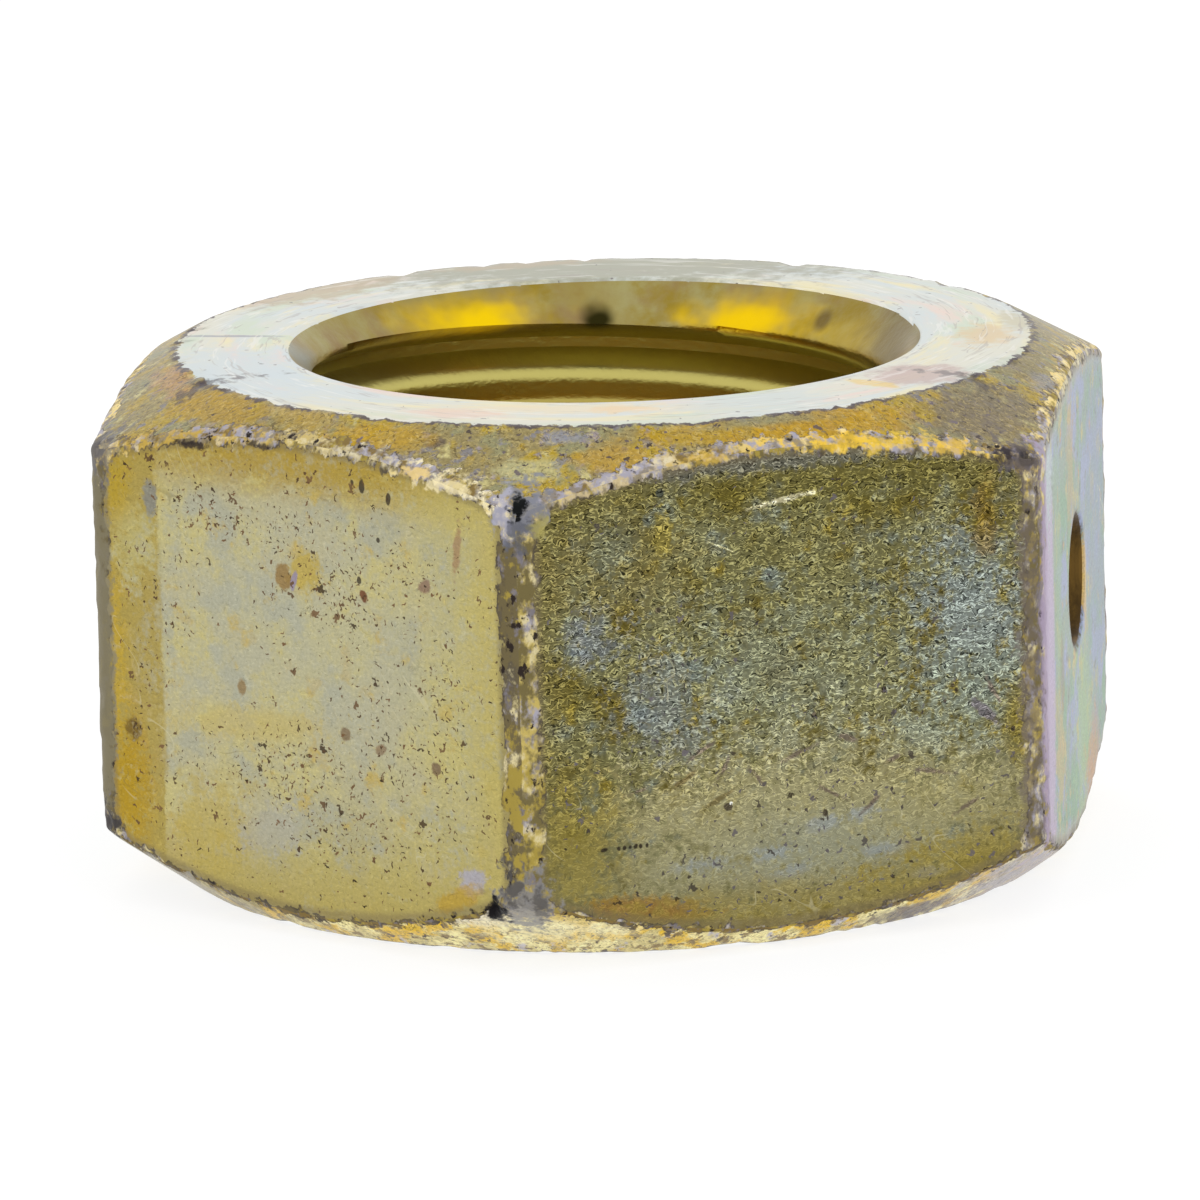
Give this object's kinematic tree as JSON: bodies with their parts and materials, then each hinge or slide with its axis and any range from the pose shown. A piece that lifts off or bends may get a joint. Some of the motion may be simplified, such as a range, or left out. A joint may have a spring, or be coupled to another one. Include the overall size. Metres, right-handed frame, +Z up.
{
  "type": "lock nut",
  "caption": "Hexagon lock nut in yellow-passivated zinc-plated steel: coned ends, flat bearing rings, countersunk threaded bore, round punch marks on opposite flats.",
  "frame": {"origin": "the middle of the lower bearing ring, on the thread axis", "axes": "+Z up along the thread axis; +X and -X out of the two punched flats; +Y out of a corner"},
  "size_m": [0.0286, 0.0328, 0.0158],
  "materials": {
    "plated_steel": "zinc plate with a yellow iridescent passivate, worn and pitted at its edges"
  },
  "bodies": {
    "root": {"nut_body": "plated_steel"}
  },
  "joints": []
}
